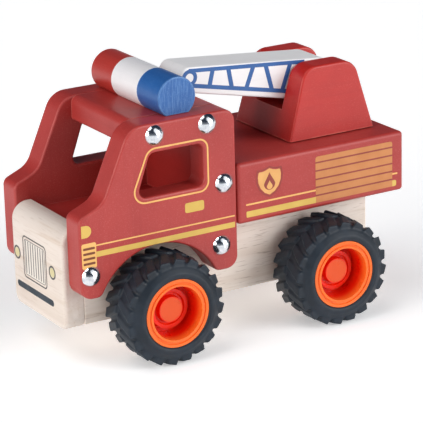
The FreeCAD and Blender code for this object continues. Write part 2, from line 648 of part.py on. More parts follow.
def tyre(label):
    """The carcass with two staggered rings of leaning lugs."""
    body = new_body(label)
    section = sketch_on(body, "XY_Plane", "section")
    outline(section, TYRE_SECTION)
    revolve(body, section)
    lugs = []
    rows = (("outer", TYRE_MIDDLE + " + lug_split", TYRE_OUT + " - lug_end", 0.0),
            ("inner", TYRE_MIDDLE + " - lug_split", TYRE_IN + " + lug_end", 180.0 / LUGS))
    for name, root, tip, turn in rows:
        near_end = lug_sketch(body, name + "_root", root, "0.001", TREAD + " - lug_root",
                              "tyre_rad", "lug_wide * 0.4", turn)
        far_end = lug_sketch(body, name + "_tip", tip, "lug_lean",
                             TREAD + " - lug_drop - wall_drop", "tyre_rad - lug_drop",
                             "lug_wide * 0.55", turn)
        lug = body.newObject("PartDesign::AdditiveLoft", body.Name + "_" + name)
        lug.Profile = near_end
        lug.Sections = [far_end]
        lug.Ruled = True
        doc.recompute()
        lugs.append(lug)
    round_about = body.newObject("PartDesign::PolarPattern", body.Name + "_lugs")
    round_about.Originals = lugs
    round_about.Axis = (origin_part(body, "Y_Axis"), [""])
    round_about.Angle = 360.0
    round_about.Occurrences = LUGS
    body.Tip = round_about
    doc.recompute()
    return body


for end, x in (("front", FRONT_AXLE), ("rear", REAR_AXLE)):
    reach = "( " + HUB_IN + " + axle_bite )"
    peg(end + "_axle", x, "- " + reach, "tyre_rad", "axle_rad", reach + " * 2", LEFT)
    for name, turn in (("left", None), ("right", ABOUT)):
        hub = new_body("hub_%s_%s" % (end, name))
        section = sketch_on(hub, "XY_Plane", "section")
        outline(section, HUB_SECTION)
        revolve(hub, section)
        place(hub, x, "0", "tyre_rad", turn)
        place(tyre("tyre_%s_%s" % (end, name)), x, "0", "tyre_rad", turn)

doc.recompute()
for thing in doc.Objects:
    if "Invalid" in thing.State or "Error" in thing.State:
        raise RuntimeError(thing.Label + " failed: " + str(thing.State))
os.makedirs("parts", exist_ok=True)
for piece in parts:
    shape = piece.Shape
    if shape.isNull() or not shape.isValid() or not shape.Solids:
        raise RuntimeError(piece.Label + ": bad shape")
for piece in parts:
    piece.Shape.exportStep("parts/" + piece.Label + ".step")
    print(piece.Label, len(piece.Shape.Solids), round(piece.Shape.Volume, 1))
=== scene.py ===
import math

import bmesh
import bpy
from mathutils import Matrix, Vector


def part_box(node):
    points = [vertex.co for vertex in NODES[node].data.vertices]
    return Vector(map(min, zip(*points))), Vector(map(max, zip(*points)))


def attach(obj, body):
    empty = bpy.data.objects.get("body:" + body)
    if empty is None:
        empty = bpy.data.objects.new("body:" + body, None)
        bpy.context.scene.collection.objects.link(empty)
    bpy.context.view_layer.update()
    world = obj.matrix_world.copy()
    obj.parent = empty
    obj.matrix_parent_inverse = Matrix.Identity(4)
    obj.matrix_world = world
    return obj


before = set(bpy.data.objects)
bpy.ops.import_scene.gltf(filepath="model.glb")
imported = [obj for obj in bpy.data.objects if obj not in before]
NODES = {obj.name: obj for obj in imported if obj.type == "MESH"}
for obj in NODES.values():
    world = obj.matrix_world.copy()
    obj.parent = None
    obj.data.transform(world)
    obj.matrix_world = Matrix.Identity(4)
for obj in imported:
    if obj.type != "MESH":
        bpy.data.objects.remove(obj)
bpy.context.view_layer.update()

MM = 0.001
SIDES = ("left", "right")
ENDS = ("front", "rear")
X, Y, Z = 0, 1, 2


def add_object(name, data):
    """A new object in the scene."""
    obj = bpy.data.objects.new(name, data)
    bpy.context.scene.collection.objects.link(obj)
    return obj


def box_high(node, axis):
    """The largest coordinate of a CAD node along an axis, in metres."""
    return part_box(node)[1][axis]


# ------------------------------------------------------------------ camera

# Angles in degrees, lens and sensor in millimetres, everything else in metres.
AZIMUTH, ELEVATION, ROLL = 149.554, 18.320, -1.577
LENS, SENSOR = 196.83, 36.0
DISTANCE = 1.12649
TARGET = Vector((-0.00443, 0.0, 0.05076))
CLIP_END = 50


def make_camera():
    az, el, roll = (math.radians(v) for v in (AZIMUTH, ELEVATION, ROLL))
    back = Vector((math.sin(az) * math.cos(el), -math.cos(az) * math.cos(el), math.sin(el)))
    flat = Vector((0, 0, 1)).cross(back).normalized()
    rise = back.cross(flat)
    right = math.cos(roll) * flat + math.sin(roll) * rise
    up = -math.sin(roll) * flat + math.cos(roll) * rise
    data = bpy.data.cameras.new("camera")
    data.sensor_width = SENSOR
    data.lens = LENS
    data.clip_end = CLIP_END
    cam = add_object("camera", data)
    turn = Matrix((right, up, back)).transposed().to_4x4()
    cam.matrix_world = Matrix.Translation(TARGET + back * DISTANCE) @ turn
    bpy.context.scene.camera = cam


# ------------------------------------------------------------------ colours

def srgb(r, g, b):
    """A colour given as 0-255 screen values, as a linear RGBA tuple."""
    def one(v):
        v /= 255
        return v / 12.92 if v <= 0.04045 else ((v + 0.055) / 1.055) ** 2.4
    return (one(r), one(g), one(b), 1.0)


# Paints: the colour, its deeper patches, and the pale tone of specks and of the edges, where
# it is partly paint rubbed thin and partly a painted highlight.
RED = (srgb(172, 53, 48), srgb(149, 36, 34), srgb(208, 122, 112))
RED_TURRET = (srgb(184, 32, 24), srgb(162, 22, 18), srgb(220, 116, 100))
# The inside of the cab is a darker copy of the red: painted shade.
RED_SHADED_INSIDE = (srgb(156, 34, 30), srgb(132, 24, 22), srgb(190, 96, 88))
RED_BAR = (srgb(176, 52, 44), srgb(150, 40, 34), srgb(206, 110, 100))
BLUE_BAR = (srgb(36, 94, 162), srgb(26, 78, 144), srgb(120, 164, 210))
WHITE_BAR = (srgb(232, 231, 233), srgb(218, 217, 221), srgb(252, 252, 253))
WHITE_LADDER = (srgb(246, 245, 245), srgb(232, 230, 231), srgb(252, 251, 251))

# Woods: the light tone and the middle tone, then what all of them share.
WOOD = (srgb(237, 225, 212), srgb(220, 204, 187))
WOOD_BEAM = (srgb(240, 229, 218), srgb(224, 208, 193))
WOOD_NOSE = (srgb(222, 211, 202), srgb(208, 194, 183))
WOOD_STREAK = srgb(190, 166, 142)
WOOD_PORE = srgb(150, 120, 96)
WOOD_PATCH = srgb(236, 225, 212)
WOOD_WORN = srgb(240, 226, 206)

# Printing inks: the colour and its deeper patches.
INKS = {
    "gold": (srgb(216, 180, 88), srgb(202, 164, 72)),
    "gold_line": (srgb(236, 184, 108), srgb(222, 164, 88)),
    "orange": (srgb(198, 128, 72), srgb(184, 112, 58)),
    "badge": (srgb(226, 170, 100), srgb(210, 150, 84)),
    "brown": (srgb(122, 60, 30), srgb(104, 48, 24)),
    "maroon": (srgb(146, 56, 46), srgb(128, 46, 40)),
    "dark": (srgb(74, 72, 72), srgb(54, 52, 54)),
    "grey": (srgb(124, 120, 116), srgb(102, 99, 96)),
    "slate": (srgb(34, 48, 60), srgb(26, 38, 50)),
    "cream": (srgb(214, 204, 158), srgb(196, 184, 132)),
    "pale": (srgb(226, 219, 210), srgb(216, 208, 198)),
    "blue": (srgb(46, 100, 166), srgb(34, 84, 148)),
}
INK_ROUGH, BLUE_INK_ROUGH = 0.5, 0.42

CHROME_BRIGHT, CHROME_DULL = srgb(232, 236, 240), srgb(205, 211, 218)
STEEL_BRIGHT, STEEL_DULL = srgb(190, 192, 196), srgb(150, 153, 158)
HUB_RIM, HUB_DISH, HUB_CAP = srgb(242, 110, 38), srgb(232, 26, 0), srgb(222, 84, 30)
HUB_CLOUD, HUB_EDGE = srgb(228, 84, 24), srgb(250, 140, 76)
RUBBER_DARK, RUBBER_LIGHT = srgb(20, 29, 38), srgb(29, 39, 50)
# The last rubber colour is a painted highlight for the lug edges.
RUBBER_DUST, RUBBER_LUG_HIGHLIGHT = srgb(38, 50, 62), srgb(72, 88, 102)
FIBRE_LIGHT, FIBRE_DARK = srgb(120, 92, 66), srgb(86, 62, 44)


# ------------------------------------------------------------------ material builder

SOFT = (0.3, 0.7)  # a gentle step between the two ends of a noise
BEVEL_SAMPLES = 6


class Shade:
    """A small builder for one node material. Noise scales are in features per metre."""

    def __init__(self, name, rough, metallic=0.0):
        self.mat = bpy.data.materials.new(name)
        self.mat.use_nodes = True
        self.tree = self.mat.node_tree
        self.bsdf = self.tree.nodes["Principled BSDF"]
        self.bsdf.inputs["Roughness"].default_value = rough
        self.bsdf.inputs["Metallic"].default_value = metallic
        self.coord = self.tree.nodes.new("ShaderNodeTexCoord").outputs["Object"]

    def set(self, **values):
        for key, value in values.items():
            self.bsdf.inputs[key.replace("_", " ")].default_value = value

    def plug(self, socket, value):
        if isinstance(value, bpy.types.NodeSocket):
            self.tree.links.new(value, socket)
        else:
            socket.default_value = value

    def scaled(self, scale, turn=(0, 0, 0), shift=(0, 0, 0)):
        n = self.tree.nodes.new("ShaderNodeMapping")
        n.inputs["Scale"].default_value = scale
        n.inputs["Rotation"].default_value = turn
        n.inputs["Location"].default_value = shift
        self.tree.links.new(self.coord, n.inputs["Vector"])
        return n.outputs["Vector"]

    def noise(self, scale, detail, rough=0.5, vector=None, warp=0.0):
        n = self.tree.nodes.new("ShaderNodeTexNoise")
        n.inputs["Scale"].default_value = scale
        n.inputs["Detail"].default_value = detail
        n.inputs["Roughness"].default_value = rough
        n.inputs["Distortion"].default_value = warp
        self.tree.links.new(vector or self.coord, n.inputs["Vector"])
        return n.outputs["Fac"]

    def grain(self, scales, detail, rough=0.5, warp=0.0, **mapping):
        """Noise with its own scale along each axis."""
        return self.noise(1.0, detail, rough, self.scaled(scales, **mapping), warp)

    def ramp(self, fac, low, high, out_low=0.0, out_high=1.0):
        n = self.tree.nodes.new("ShaderNodeMapRange")
        n.interpolation_type = "SMOOTHSTEP"
        self.plug(n.inputs["Value"], fac)
        ends = {"From Min": low, "From Max": high, "To Min": out_low, "To Max": out_high}
        for key, value in ends.items():
            n.inputs[key].default_value = value
        return n.outputs["Result"]

    def math(self, op, a, b=0.0):
        n = self.tree.nodes.new("ShaderNodeMath")
        n.operation = op
        self.plug(n.inputs[0], a)
        self.plug(n.inputs[1], b)
        return n.outputs[0]

    def mix(self, fac, a, b):
        n = self.tree.nodes.new("ShaderNodeMix")
        n.data_type = "RGBA"
        self.plug(n.inputs["Factor"], fac)
        self.plug(n.inputs["A"], a)
        self.plug(n.inputs["B"], b)
        return n.outputs["Result"]

    def axis(self, name):
        """The position along one axis of the object."""
        n = self.tree.nodes.new("ShaderNodeSeparateXYZ")
        self.tree.links.new(self.coord, n.inputs[0])
        return n.outputs[name]

    def facing(self, name):
        """How far the surface faces along one axis of the object, -1 to 1."""
        n = self.tree.nodes.new("ShaderNodeSeparateXYZ")
        coord = self.tree.nodes.new("ShaderNodeTexCoord")
        self.tree.links.new(coord.outputs["Normal"], n.inputs[0])
        return n.outputs[name]

    def edge(self, radius):
        """0 on flat faces, more on edges tighter than a radius in millimetres."""
        bevel = self.tree.nodes.new("ShaderNodeBevel")
        bevel.samples = BEVEL_SAMPLES
        bevel.inputs["Radius"].default_value = radius * MM
        geo = self.tree.nodes.new("ShaderNodeNewGeometry")
        dot = self.tree.nodes.new("ShaderNodeVectorMath")
        dot.operation = "DOT_PRODUCT"
        self.tree.links.new(bevel.outputs["Normal"], dot.inputs[0])
        self.tree.links.new(geo.outputs["Normal"], dot.inputs[1])
        return self.math("SUBTRACT", 1.0, dot.outputs["Value"])

    def bump(self, height, deep, strength, under=None):
        """Relief this many millimetres deep, on top of another relief if one is given."""
        n = self.tree.nodes.new("ShaderNodeBump")
        n.inputs["Distance"].default_value = deep * MM
        n.inputs["Strength"].default_value = strength
        self.tree.links.new(height, n.inputs["Height"])
        if under is not None:
            self.tree.links.new(under, n.inputs["Normal"])
        return n.outputs["Normal"]

    def finish(self, colour, rough=None, normal=None):
        for key, value in (("Base Color", colour), ("Roughness", rough), ("Normal", normal)):
            if value is not None:
                self.plug(self.bsdf.inputs[key], value)
        return self.mat


def along(axis, fine, coarse):
    """Texture scales for grain that runs along one axis."""
    return tuple(coarse if a == axis else fine for a in "XYZ")


# ------------------------------------------------------------------ materials

def bare_wood(name, axis, seed, flecks=0.5, tones=WOOD):
    """Sanded wood with streaks, bands and pores along one axis; seed moves the pattern."""
    s = Shade(name, rough=0.62)
    shift = (seed, seed * 0.7, seed * 1.3)
    streaks = s.grain(along(axis, 330, 16), detail=5, rough=0.6, warp=0.7, shift=shift)
    bands = s.grain(along(axis, 75, 5), detail=2, warp=1.2, shift=shift)
    pores = s.grain(along(axis, 1500, 90), detail=2, rough=0.6, shift=shift)
    patches = s.noise(22, detail=2)
    base = s.mix(s.ramp(bands, *SOFT), *tones)
    base = s.mix(s.ramp(streaks, 0.5, 0.8, 0, 0.6), base, WOOD_STREAK)
    base = s.mix(s.ramp(pores, 0.57, 0.70, 0, flecks), base, WOOD_PORE)
    base = s.mix(s.ramp(patches, 0.35, 0.7, 0, 0.3), base, WOOD_PATCH)
    pale_edge = s.math("MULTIPLY", s.ramp(s.edge(0.9), 0.02, 0.3), 0.45)
    base = s.mix(pale_edge, base, WOOD_WORN)
    rough = s.ramp(streaks, 0.3, 0.8, 0.54, 0.72)
    normal = s.bump(pores, 0.06, 0.5, s.bump(streaks, 0.12, 0.5))
    return s.finish(base, rough, normal)


def painted(name, tones, axis, gloss=0.42, edge_wear_and_highlight=0.75, sawn=False):
    """Paint over wood: the grain shows through, the edges are paler, partly paint rubbed thin
    and partly a painted highlight, the gloss is hazy.

    sawn adds the marks of a saw on the faces that look along Y.
    """
    colour, deep, pale = tones
    s = Shade(name, rough=gloss)
    grain = s.grain(along(axis, 420, 18), detail=4, rough=0.6, warp=0.5)
    cloud = s.noise(38, detail=3)
    peel = s.noise(900, detail=2)
    specks = s.noise(2600, detail=1)
    base = s.mix(s.ramp(cloud, *SOFT, 0, 0.4), colour, deep)
    base = s.mix(s.ramp(grain, 0.45, 0.8, 0, 0.35), base, deep)
    base = s.mix(s.ramp(specks, 0.58, 0.72, 0, 0.24), base, pale)
    # Pale edges: partly paint rubbed thin, partly a painted highlight along the rounded edges.
    rub = s.ramp(s.noise(140, detail=3), 0.38, 0.6, 0.35, 1.0)
    pale_edge = s.math("MULTIPLY", s.ramp(s.edge(1.2), 0.006, 0.07), rub)
    base = s.mix(s.math("MULTIPLY", pale_edge, edge_wear_and_highlight), base, pale)
    rough = s.ramp(cloud, 0.2, 0.8, gloss - 0.05, gloss + 0.08)
    normal = s.bump(peel, 0.03, 0.6, s.bump(grain, 0.06, 0.5))
    if sawn:
        slant = (0, math.radians(38), 0)
        marks = s.grain((1900, 40, 150), detail=3, rough=0.6, turn=slant)
        on_end = s.ramp(s.math("ABSOLUTE", s.facing("Y")), 0.9, 0.98)
        scored = s.math("MULTIPLY", on_end, s.ramp(marks, 0.42, 0.7, 0.0, 0.3))
        base = s.mix(scored, base, pale)
        normal = s.bump(marks, 0.05, 0.5, normal)
    return s.finish(base, rough, normal)


def printed(name, tones, rough=INK_ROUGH):
    """Screen-printed ink: even colour with a fine broken texture."""
    colour, deep = tones
    s = Shade(name, rough)
    dots = s.noise(3200, detail=1)
    cloud = s.noise(120, detail=2)
    base = s.mix(s.ramp(cloud, *SOFT, 0, 0.5), colour, deep)
    base = s.mix(s.ramp(dots, 0.55, 0.7, 0, 0.35), base, deep)
    hazy = s.ramp(cloud, 0.2, 0.8, rough - 0.06, rough + 0.08)
    return s.finish(base, hazy, s.bump(dots, 0.01, 0.5))


def chrome():
    """Plated nail heads: bright, a little hazy, with fine scratches."""
    s = Shade("nail_chrome", 0.12, metallic=1.0)
    haze = s.noise(700, detail=3)
    scratch = s.grain((3000, 240, 3000), detail=2, rough=0.6, turn=(0.3, 0.5, 0.8))
    base = s.mix(s.ramp(haze, 0.3, 0.75), CHROME_BRIGHT, CHROME_DULL)
    rough = s.ramp(haze, 0.3, 0.75, 0.13, 0.22)
    return s.finish(base, rough, s.bump(scratch, 0.006, 0.35))


def steel():
    """Turned steel rod, with rings round the Y axis."""
    s = Shade("axle_steel", 0.3, metallic=1.0)
    turned = s.grain((60, 2600, 60), detail=2)
    base = s.mix(s.ramp(turned, *SOFT), STEEL_BRIGHT, STEEL_DULL)
    return s.finish(base, s.ramp(turned, *SOFT, 0.22, 0.4), s.bump(turned, 0.01, 0.5))


def hub_plastic(name, face, centre_x, centre_z):
    """Moulded orange plastic, deep red down in the dish, with a paler cap in the middle.

    face is the outer face's distance from the middle plane, and the centre is the axle's.
    """
    s = Shade(name, 0.3)
    s.set(Subsurface_Weight=0.1, Subsurface_Radius=(0.003, 0.0008, 0.0003),
          Specular_IOR_Level=0.35)
    depth = s.math("SUBTRACT", face, s.math("ABSOLUTE", s.axis("Y")))
    across = s.math("SUBTRACT", s.axis("X"), centre_x)
    height = s.math("SUBTRACT", s.axis("Z"), centre_z)
    squares = (s.math("MULTIPLY", across, across), s.math("MULTIPLY", height, height))
    reach = s.math("SQRT", s.math("ADD", *squares))
    near_axle = s.ramp(reach, 5.2 * MM, 6.2 * MM, 1, 0)
    above_floor = s.ramp(depth, 6.8 * MM, 7.4 * MM, 1, 0)
    cloud = s.noise(160, detail=2)
    grit = s.noise(3000, detail=1)
    base = s.mix(s.ramp(depth, 0.5 * MM, 5.5 * MM), HUB_RIM, HUB_DISH)
    base = s.mix(s.math("MULTIPLY", near_axle, above_floor), base, HUB_CAP)
    base = s.mix(s.ramp(cloud, *SOFT, 0, 0.08), base, HUB_CLOUD)
    pale_edge = s.math("MULTIPLY", s.ramp(s.edge(0.5), 0.04, 0.3), 0.3)
    base = s.mix(pale_edge, base, HUB_EDGE)
    return s.finish(base, s.ramp(cloud, *SOFT, 0.26, 0.38), s.bump(grit, 0.01, 0.4))


def rubber():
    """Dark blue-grey rubber, dusty in patches, with a painted highlight that makes the edges
    of its lugs paler.
    """
    s = Shade("tyre_rubber", 0.55)
    s.set(Specular_IOR_Level=0.34)
    cloud = s.noise(90, detail=4)
    grit = s.noise(1800, detail=2)
    dust = s.ramp(s.noise(260, detail=4, rough=0.65), 0.45, 0.72, 0, 0.4)
    base = s.mix(s.ramp(cloud, *SOFT), RUBBER_DARK, RUBBER_LIGHT)
    base = s.mix(dust, base, RUBBER_DUST)
    # Painted highlight: paler blue-grey along the edges of the lugs.
    pale_edge = s.math("MULTIPLY", s.ramp(s.edge(0.8), 0.01, 0.12), 0.45)
    base = s.mix(pale_edge, base, RUBBER_LUG_HIGHLIGHT)
    rough = s.ramp(cloud, 0.25, 0.75, 0.42, 0.62)
    return s.finish(base, rough, s.bump(grit, 0.02, 0.5, s.bump(cloud, 0.1, 0.3)))


def fibre():
    """Brown fibre board."""
    s = Shade("washer_fibre", 0.8)
    fuzz = s.noise(1500, detail=4, rough=0.7)
    base = s.mix(s.ramp(fuzz, *SOFT), FIBRE_LIGHT, FIBRE_DARK)
    return s.finish(base, s.ramp(fuzz, *SOFT, 0.7, 0.9), s.bump(fuzz, 0.04, 0.6))


# ------------------------------------------------------------------ outlines, in millimetres

SHARP = 1e-6  # a corner with a smaller radius than this stays sharp
ROUND_STEPS = 40


def rounded(points, radius, steps=6):
    """A polygon with its corners rounded. radius is one number or one for each corner."""
    out = []
    count = len(points)
    radii = radius if isinstance(radius, (list, tuple)) else [radius] * count
    for i in range(count):
        before, here, after = (Vector(points[(i + k) % count]) for k in (-1, 0, 1))
        if radii[i] < SHARP:
            out.append(tuple(here))
            continue
        into, away = (before - here).normalized(), (after - here).normalized()
        half = math.acos(max(-1, min(1, into.dot(away)))) / 2
        longest = min((before - here).length / 2, (after - here).length / 2)
        reach = min(radii[i] / math.tan(half), longest)
        r = reach * math.tan(half)
        centre = here + (into + away).normalized() * (r / math.sin(half))
        a, b = here + into * reach - centre, here + away * reach - centre
        sweep = a.angle_signed(b)
        for k in range(steps + 1):
            spun = Matrix.Rotation(-sweep * k / steps, 2) @ a
            out.append(tuple(centre + spun))
    return out


def box2(x0, y0, x1, y1):
    return [(x0, y0), (x1, y0), (x1, y1), (x0, y1)]


def disc(x, y, r):
    turns = [2 * math.pi * k / ROUND_STEPS for k in range(ROUND_STEPS)]
    return [(x + r * math.cos(t), y + r * math.sin(t)) for t in turns]


def offset(points, d):
    """The polygon grown by d (shrunk if negative), given anticlockwise or clockwise."""
    count = len(points)
    area = sum(points[i - 1][0] * points[i][1] - points[i][0] * points[i - 1][1]
               for i in range(count))
    side = 1 if area > 0 else -1
    lines = []
    for i in range(count):
        a, b = Vector(points[i - 1]), Vector(points[i])
        n = Vector((b.y - a.y, a.x - b.x)).normalized() * d * side
        lines.append((a + n, (b - a).normalized()))
    out = []
    for i in range(count):
        (p, u), (q, v) = lines[i], lines[(i + 1) % count]
        cross = u.x * v.y - u.y * v.x
        t = ((q - p).x * v.y - (q - p).y * v.x) / cross
        out.append(tuple(p + u * t))
    return out


def strip(a, b, width):
    """A straight bar from a to b."""
    a, b = Vector(a), Vector(b)
    n = Vector((-(b - a).y, (b - a).x)).normalized() * width / 2
    return [tuple(a + n), tuple(a - n), tuple(b - n), tuple(b + n)]


# ------------------------------------------------------------------ printed films

# The films are laid out in millimetres: along X and Z on the sides, along Y and Z in front.
DRAWN_NOSE = 90.4  # where the nose board's front was when the sides were laid out
WELD = 1e-7
FACES = {
    "left": lambda a, b, out: (a, out, b),
    "right": lambda a, b, out: (a, -out, b),
    "front": lambda a, b, out: (out, a, b),
}
LIFT, HALF_THICK, LIP = 0.03, 0.03, 0.012  # middle of the film above the face, and its edge
GROUND = {"lift": 0.02, "thick": 0.02, "lip": 0.0}  # a film that others are printed on


def ink(name, loops, face, depth, body, material, lift=LIFT, thick=HALF_THICK, lip=LIP):
    """A thin raised film: outlines on a face, inner ones as holes, filled and meshed."""
    curve = bpy.data.curves.new(name + "_line", "CURVE")
    curve.dimensions = "2D"
    curve.fill_mode = "BOTH"
    curve.extrude = thick
    curve.bevel_depth = lip
    curve.bevel_resolution = 1
    for loop in loops:
        spline = curve.splines.new("POLY")
        spline.points.add(len(loop) - 1)
        for p, (a, b) in zip(spline.points, loop):
            p.co = (a, b, 0, 1)
        spline.use_cyclic_u = True
    made = add_object(name + "_line", curve)
    bpy.context.view_layer.update()
    solid = made.evaluated_get(bpy.context.evaluated_depsgraph_get())
    mesh = bpy.data.meshes.new_from_object(solid)
    bpy.data.objects.remove(made)
    bpy.data.curves.remove(curve)
    where = FACES[face]
    ahead = 0 if face == "front" else box_high("nose_board", X) / MM - DRAWN_NOSE
    for v in mesh.vertices:
        v.co = Vector(where(v.co.x + ahead, v.co.y, depth + lift + v.co.z)) * MM
    bm = bmesh.new()
    bm.from_mesh(mesh)
    bmesh.ops.remove_doubles(bm, verts=bm.verts, dist=WELD)
    bmesh.ops.recalc_face_normals(bm, faces=bm.faces)
    bm.to_mesh(mesh)
    bm.free()
    mesh.materials.clear()
    mesh.materials.append(material)
    obj = add_object(name, mesh)
    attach(obj, body)


def printer(prefix, face, node, body="chassis"):
    """A function that prints on the outermost plane of a CAD node."""
    depth = box_high(node, X if face == "front" else Y) / MM

    def put(name, loops, material, **film):
        ink(prefix + name, loops, face, depth, body, material, **film)

    return put


WINDOW = [(50.6, 102.1), (18.7, 102.1), (18.7, 76.1), (61.8, 76.1)]
WINDOW_OUTER, WINDOW_INNER = [6.0, 5.0, 5.0, 6.0], [5.2, 4.2, 4.2, 5.2]  # corner radii
WINDOW_LINE = 0.8
WINDOW_STEPS = 8
LAMP_X, LAMP_Z, LAMP_RADIUS, LAMP_FRONT = 84.3, 68.7, 2.9, 86.5
LAMP_STEPS = 16
VENT = (79.2, 50.8, 86.7, 63.0)
VENT_SLOTS, VENT_TOP, VENT_PITCH = 4, 60.4, 2.4
VENT_SLOT_ENDS, VENT_SLOT_HALF = (79.9, 86.0), 0.55
CAB_STRIPE_THIN = (5.3, 61.0, 79.1, 61.65)
CAB_STRIPE_THICK = (5.3, 55.7, 79.1, 58.3)
HANDLE = (21.8, 67.5, 32.0, 72.3)


def cab_prints(side, inks):
    put = printer(f"cab_{side}_", side, "cab_side_left")
    outer = rounded(WINDOW, WINDOW_OUTER, WINDOW_STEPS)
    inner = rounded(offset(WINDOW, -WINDOW_LINE), WINDOW_INNER, WINDOW_STEPS)
    put("window_line", [outer, inner], inks["gold_line"])
    turns = [math.pi * k / LAMP_STEPS for k in range(LAMP_STEPS + 1)]
    lamp = [(LAMP_FRONT, LAMP_Z - LAMP_RADIUS), (LAMP_FRONT, LAMP_Z + LAMP_RADIUS)] + [
        (LAMP_X - LAMP_RADIUS * math.sin(t), LAMP_Z + LAMP_RADIUS * math.cos(t)) for t in turns
    ]
    put("lamp", [lamp], inks["gold"])
    put("vent", [rounded(box2(*VENT), 1.0)], inks["gold_line"])
    x0, x1 = VENT_SLOT_ENDS
    for k in range(VENT_SLOTS):
        z = VENT_TOP - VENT_PITCH * k
        slot = rounded(box2(x0, z - VENT_SLOT_HALF, x1, z + VENT_SLOT_HALF), 0.4, steps=3)
        put(f"vent_slot_{k + 1}", [slot], inks["brown"], lift=0.075)
    put("stripe_thin", [box2(*CAB_STRIPE_THIN)], inks["gold_line"])
    put("stripe_thick", [box2(*CAB_STRIPE_THICK)], inks["gold"])
    put("handle", [rounded(box2(*HANDLE), 1.1)], inks["gold"])


# The bed's stripes run up to the cab in front, with a stub of each behind the louvre.
BED_THIN = (64.8, 65.6)
BED_THICK = (58.9, 61.9)
LOUVRE_ENDS = (-84.9, -40.3)
LOUVRE_TOPS = [81.9, 78.5, 74.4, 70.2, 66.2, 62.1]
LOUVRE_FEET = [79.3, 75.2, 71.0, 67.0, 62.9, 58.9]
LOUVRE_GAPS_TOP = 80.5


def bed_prints(side, inks):
    put = printer(f"bed_{side}_", side, "bed_block")

    def stripe(name, x0, x1, heights, radius, material):
        low, high = heights
        put(name, [rounded(box2(x0, low, x1, high), radius, steps=4)], material)

    stripe("stripe_thin", -40.5, -1.1, BED_THIN, 0.38, inks["gold_line"])
    stripe("stripe_thin_stub", -88.0, -84.8, BED_THIN, 0.38, inks["gold_line"])
    stripe("stripe_thick", -40.4, -1.2, BED_THICK, [0, 0.6, 0.6, 0], inks["gold"])
    stripe("stripe_stub", -87.2, -84.8, BED_THICK, [0.8, 0, 0, 0.8], inks["gold"])
    x0, x1 = LOUVRE_ENDS
    gaps = rounded(box2(x0, LOUVRE_FEET[-1], x1, LOUVRE_GAPS_TOP), 0.4, steps=3)
    put("louvre_gaps", [gaps], inks["maroon"], **GROUND)
    for k, (top, foot) in enumerate(zip(LOUVRE_TOPS, LOUVRE_FEET)):
        corners = [0, 0, 2.2, 2.2] if k == 0 else 0
        bar = rounded(box2(x0, foot, x1, top), corners)
        put(f"louvre_bar_{k + 1}", [bar], inks["orange"], lift=0.05)


BADGE_X, BADGE_Z = -14.3, 74.7
SHIELD_HALF = [(0, 6.3), (2.0, 5.5), (4.0, 5.1), (5.9, 5.2), (6.4, 2.8), (6.1, -0.2),
               (4.9, -3.0), (2.8, -5.3), (0, -6.7)]
DROP_STEPS = 28
DROP_TAPER = 0.8


def shield(grow):
    """The badge's outline, grown by a margin."""
    half = SHIELD_HALF
    points = half + [(-a, b) for a, b in reversed(half[1:-1])]
    return rounded(offset([(BADGE_X + a, BADGE_Z + b) for a, b in points], grow), 0.7, steps=3)


def drop(r, tall, low):
    """A flame: half a disc below, and a point that rises to tall above its middle, low."""
    out = []
    for k in range(DROP_STEPS):
        t = 2 * math.pi * k / DROP_STEPS
        below = math.cos(t) < 0
        wide = math.sin(t) * (1.0 if below else (1 - math.cos(t)) ** DROP_TAPER)
        high = (r if below else tall) * math.cos(t)
        out.append((BADGE_X + r * wide, BADGE_Z + low + high))
    return out


def badge_prints(side, inks):
    """A plain shield with a simple drop-shaped flame."""
    put = printer(f"badge_{side}_", side, "bed_block")
    put("rim", [shield(1.1), shield(0.5)], inks["maroon"])
    put("face", [shield(0.0)], inks["badge"])
    put("flame", [drop(3.1, 5.6, -1.2)], inks["maroon"], lift=0.08)
    put("flame_heart", [drop(1.6, 2.8, -2.4)], inks["badge"], lift=0.13)


GRILLE = box2(-14.4, 33.0, 9.6, 54.0)
GRILLE_FRAME, GRILLE_INSET, GRILLE_LINE = 0.6, 1.6, 0.35
GRILLE_BARS, GRILLE_FIRST, GRILLE_PITCH = 8, -11.3, 2.5
GRILLE_BAR_HALF, GRILLE_BAR_ENDS = 0.38, (35.6, 51.8)
HEADLIGHTS = (("right", -20.7), ("left", 15.4))
HEADLIGHT_Z = 43.4
HEADLIGHT_OUTER, HEADLIGHT_INNER, HEADLIGHT_GLOW = 3.35, 2.5, 2.2
BUMPER = (-21.8, 26.4, 15.6, 29.5)


def nose_prints(inks):
    put = printer("", "front", "nose_board")
    frame_hole = offset(GRILLE, -GRILLE_FRAME)
    put("grille_frame", [rounded(GRILLE, 2.4), rounded(frame_hole, 1.9)], inks["dark"])
    outer = offset(GRILLE, -GRILLE_INSET)
    inner = offset(outer, -GRILLE_LINE)
    put("grille_inner_line", [rounded(outer, 1.5), rounded(inner, 1.3)], inks["grey"])
    put("grille_ground", [rounded(inner, 1.2)], inks["pale"], **GROUND)
    low, high = GRILLE_BAR_ENDS
    for k in range(GRILLE_BARS):
        y = GRILLE_FIRST + GRILLE_PITCH * k
        bar = rounded(box2(y - GRILLE_BAR_HALF, low, y + GRILLE_BAR_HALF, high), 0.3, steps=3)
        put(f"grille_bar_{k + 1}", [bar], inks["grey"], lift=0.06)
    for label, y in HEADLIGHTS:
        ring = [disc(y, HEADLIGHT_Z, r) for r in (HEADLIGHT_OUTER, HEADLIGHT_INNER)]
        put(f"headlight_{label}_ring", ring, inks["dark"])
        put(f"headlight_{label}_glow", [disc(y, HEADLIGHT_Z, HEADLIGHT_GLOW)], inks["cream"])
    put("bumper_bar", [rounded(box2(*BUMPER), 1.4)], inks["slate"])


